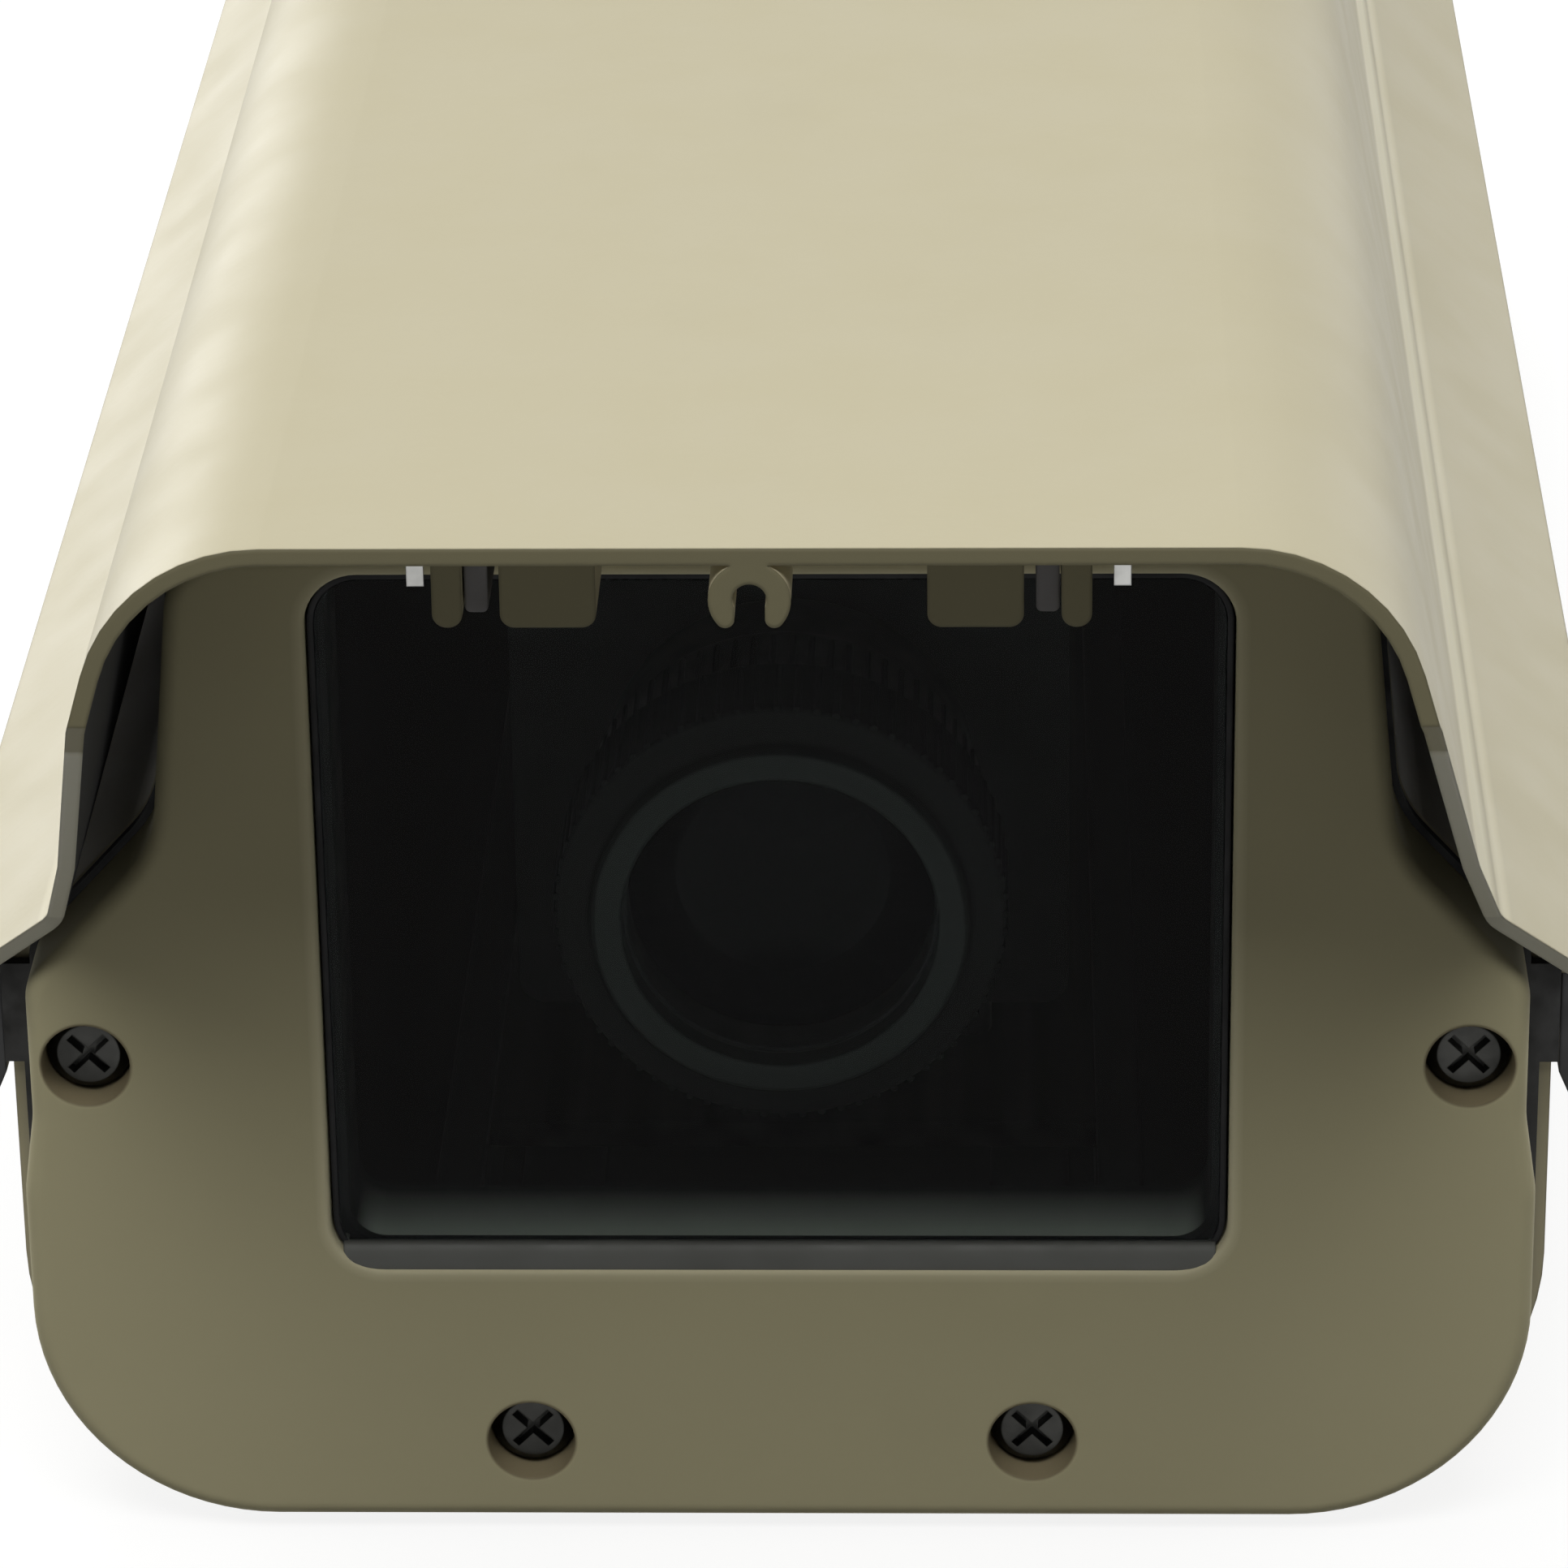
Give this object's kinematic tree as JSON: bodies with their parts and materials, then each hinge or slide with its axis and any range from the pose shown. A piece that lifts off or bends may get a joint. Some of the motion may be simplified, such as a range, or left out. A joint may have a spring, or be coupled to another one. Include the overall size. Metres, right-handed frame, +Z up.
{
  "type": "security camera housing",
  "caption": "Outdoor camera housing: extruded trough, side-hinged cover with a raked sunshield, framed front window, camera on a sliding sled, draw latches and cable glands.",
  "frame": {"origin": "middle of the four mounting holes, in the base face of the trough", "axes": "+Y from the front window to the rear glands, +Z up, +X to the right when the window is looked at from the front"},
  "size_m": [0.1441, 0.3712, 0.1102],
  "materials": {
    "beige_paint": "satin polyester powder coat on aluminium",
    "grey_slide": "matt extruded slide strip",
    "black_moulding": "satin black moulding",
    "window_glass": "clear toughened pane",
    "seal_rubber": "matt",
    "clip_steel": "bright spring steel",
    "screw_steel": "dark plated steel",
    "hinge_steel": "dark satin coat on steel",
    "latch_steel": "blue-black coat on steel",
    "camera_case": "dark matt coat",
    "connector_nickel": "nickel plate",
    "lens_black": "matt black",
    "lens_glass": "coated",
    "sled_aluminium": "mill finish",
    "board_green": "solder resist",
    "terminal_green": "moulded",
    "spacer_nylon": "moulded"
  },
  "bodies": {
    "housing": {"lower_body": "beige_paint", "front_plate": "beige_paint", "rear_plate": "beige_paint", "front_gasket": "seal_rubber", "rear_gasket": "seal_rubber", "window_frame": "black_moulding", "window_glass": "window_glass", "window_clips": "clip_steel", "front_plate_screws": "screw_steel", "rear_plate_screws": "screw_steel", "wall_seal_left": "seal_rubber", "wall_seal_right": "seal_rubber", "hinge_leaf_body_front": "hinge_steel", "hinge_leaf_body_rear": "hinge_steel", "hinge_pin_front": "hinge_steel", "hinge_pin_rear": "hinge_steel", "hinge_rivets_body": "hinge_steel", "latch_base_front": "latch_steel", "latch_base_rear": "latch_steel", "latch_pin_front": "latch_steel", "latch_pin_rear": "latch_steel", "latch_rivets_body": "latch_steel", "gland_body_left": "black_moulding", "gland_body_right": "black_moulding", "gland_cap_left": "black_moulding", "gland_cap_right": "black_moulding", "gland_seal_left": "seal_rubber", "gland_seal_right": "seal_rubber", "gland_locknut_left": "black_moulding", "gland_locknut_right": "black_moulding", "supply_board": "board_green", "board_spacers": "spacer_nylon", "terminal_block": "terminal_green"},
    "cover": {"cover": "beige_paint", "hood": "beige_paint", "hood_strip_left": "grey_slide", "hood_strip_right": "grey_slide", "hood_screws": "screw_steel", "skirt_tips_left": "black_moulding", "skirt_tips_right": "black_moulding", "hinge_leaf_cover_front": "hinge_steel", "hinge_leaf_cover_rear": "hinge_steel", "hinge_rivets_cover": "hinge_steel", "latch_keeper_front": "latch_steel", "latch_keeper_rear": "latch_steel", "latch_rivets_cover": "latch_steel"},
    "lever_front": {"latch_lever_front": "latch_steel"},
    "lever_rear": {"latch_lever_rear": "latch_steel"},
    "bail_front": {"latch_bail_front": "latch_steel"},
    "bail_rear": {"latch_bail_rear": "latch_steel"},
    "sled": {"camera_sled": "sled_aluminium", "camera_stand": "sled_aluminium", "camera_body": "camera_case", "camera_connector": "connector_nickel", "lens_barrel": "lens_black", "lens_front_glass": "lens_glass"},
    "knob": {"sled_knob": "lens_black"},
    "focus": {"focus_ring": "lens_black"},
    "zoom": {"zoom_ring": "lens_black"}
  },
  "joints": [
    {"name": "cover_hinge", "type": "hinge", "parent": "housing", "child": "cover", "pos_m": [-0.0686, 0, 0.038], "axis": [0, -1, 0], "range_deg": [0, 100]},
    {"name": "latch_lever_front", "type": "hinge", "parent": "housing", "child": "lever_front", "pos_m": [0.0694, -0.055, 0.027], "axis": [0, -1, 0], "range_deg": [0, 150]},
    {"name": "latch_bail_front", "type": "hinge", "parent": "lever_front", "child": "bail_front", "pos_m": [0.0699, -0.055, 0.0226], "axis": [0, -1, 0], "range_deg": [-180, 0]},
    {"name": "latch_lever_rear", "type": "hinge", "parent": "housing", "child": "lever_rear", "pos_m": [0.0694, 0.065, 0.027], "axis": [0, -1, 0], "range_deg": [0, 150]},
    {"name": "latch_bail_rear", "type": "hinge", "parent": "lever_rear", "child": "bail_rear", "pos_m": [0.0699, 0.065, 0.0226], "axis": [0, -1, 0], "range_deg": [-180, 0]},
    {"name": "sled_slide", "type": "slide", "parent": "housing", "child": "sled", "axis": [0, 1, 0], "range_m": [-0.008, 0.025]},
    {"name": "sled_knob_turn", "type": "hinge", "parent": "sled", "child": "knob", "pos_m": [0, 0, 0.02], "axis": [0, 0, 1], "range_deg": [-180, 180]},
    {"name": "focus_turn", "type": "hinge", "parent": "sled", "child": "focus", "pos_m": [0, -0.13, 0.0512], "axis": [0, 1, 0], "range_deg": [-120, 120]},
    {"name": "zoom_turn", "type": "hinge", "parent": "sled", "child": "zoom", "pos_m": [0, -0.118, 0.0512], "axis": [0, 1, 0], "range_deg": [-60, 60]}
  ],
  "couplings": [
    {"joint": "latch_bail_front", "follows": "latch_lever_front", "ratio": -1.2},
    {"joint": "latch_bail_rear", "follows": "latch_lever_rear", "ratio": -1.2}
  ]
}
